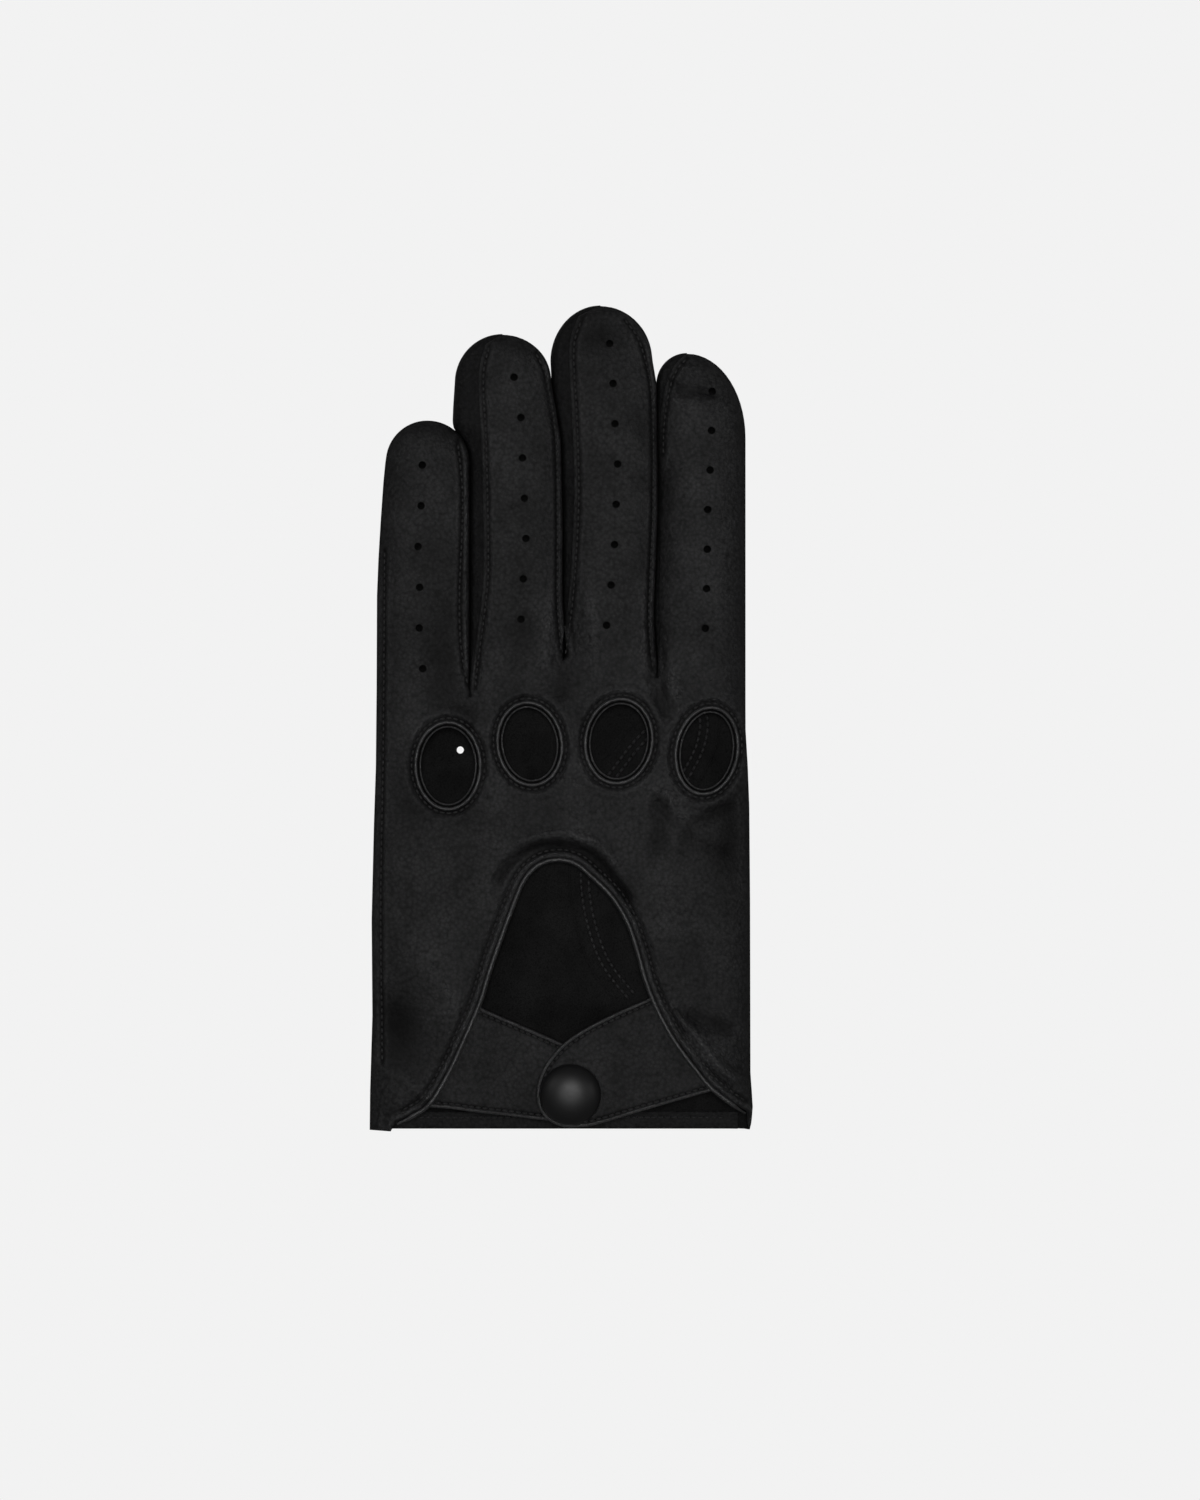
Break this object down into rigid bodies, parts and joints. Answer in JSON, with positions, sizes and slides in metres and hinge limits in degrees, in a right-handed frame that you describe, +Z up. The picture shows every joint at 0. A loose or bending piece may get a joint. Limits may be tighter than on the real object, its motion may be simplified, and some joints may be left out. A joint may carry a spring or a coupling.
{
  "type": "leather driving glove",
  "caption": "Left-hand leather driving glove lying flat, back up, with open knuckles, a bell-shaped wrist opening closed by a snap strap, bending vented fingers and a tucked thumb.",
  "frame": {"origin": "middle of the glove's outline, on the table it lies on", "axes": "+X from the little finger to the index finger, +Y from the cuff to the fingertips, +Z up out of the back of the hand"},
  "size_m": [0.098, 0.216, 0.0164],
  "materials": {
    "leather_back": "soft semi-gloss black nappa, fine grain",
    "leather_palm": "soft semi-gloss black nappa, fine grain",
    "leather_fourchette": "soft black nappa",
    "leather_binding": "turned black nappa edge",
    "thread": "waxed black sewing thread",
    "snap_cap_black": "black lacquered dome",
    "snap_metal": "blackened nickel"
  },
  "bodies": {
    "hand": {"trank_back": "leather_back", "trank_palm": "leather_palm", "web_little_ring": "leather_fourchette", "web_ring_middle": "leather_fourchette", "web_middle_index": "leather_fourchette", "thumb_gusset": "leather_palm", "cuff_hem": "leather_palm", "cutout_binding": "leather_binding", "knuckle_binding_little": "leather_binding", "knuckle_binding_ring": "leather_binding", "knuckle_binding_middle": "leather_binding", "knuckle_binding_index": "leather_binding", "strap_tab": "leather_back", "strap_anchor": "leather_back", "snap_stud": "snap_metal", "snap_post": "snap_metal"},
    "little": {"little_back": "leather_back", "little_front": "leather_palm", "little_fourchette_inner": "leather_fourchette"},
    "ring": {"ring_back": "leather_back", "ring_front": "leather_palm", "ring_fourchette_outer": "leather_fourchette", "ring_fourchette_inner": "leather_fourchette"},
    "middle": {"middle_back": "leather_back", "middle_front": "leather_palm", "middle_fourchette_outer": "leather_fourchette", "middle_fourchette_inner": "leather_fourchette"},
    "index": {"index_back": "leather_back", "index_front": "leather_palm", "index_fourchette_outer": "leather_fourchette"},
    "thumb": {"thumb_back": "leather_back", "thumb_front": "leather_palm"},
    "strap": {"strap_flap": "leather_back", "snap_cap": "snap_cap_black", "snap_socket": "snap_metal"}
  },
  "joints": [
    {"name": "little_bend", "type": "hinge", "parent": "hand", "child": "little", "pos_m": [-0.0374, 0.028, 0.0065], "axis": [-1, 0, 0], "range_deg": [-15, 80]},
    {"name": "ring_bend", "type": "hinge", "parent": "hand", "child": "ring", "pos_m": [-0.0133, 0.039, 0.0065], "axis": [-1, 0, 0], "range_deg": [-15, 80]},
    {"name": "middle_bend", "type": "hinge", "parent": "hand", "child": "middle", "pos_m": [0.012, 0.042, 0.0065], "axis": [-1, 0, 0], "range_deg": [-15, 80]},
    {"name": "index_bend", "type": "hinge", "parent": "hand", "child": "index", "pos_m": [0.03715, 0.035, 0.0065], "axis": [-1, 0, 0], "range_deg": [-15, 80]},
    {"name": "thumb_swing", "type": "hinge", "parent": "hand", "child": "thumb", "pos_m": [0.03, -0.058, 0.002], "axis": [0, 0, -1], "range_deg": [0, 85]},
    {"name": "strap_open", "type": "hinge", "parent": "hand", "child": "strap", "pos_m": [0.02683, -0.08675, 0.0122], "axis": [-0.5095, 0.8605, 0], "range_deg": [0, 105]}
  ]
}
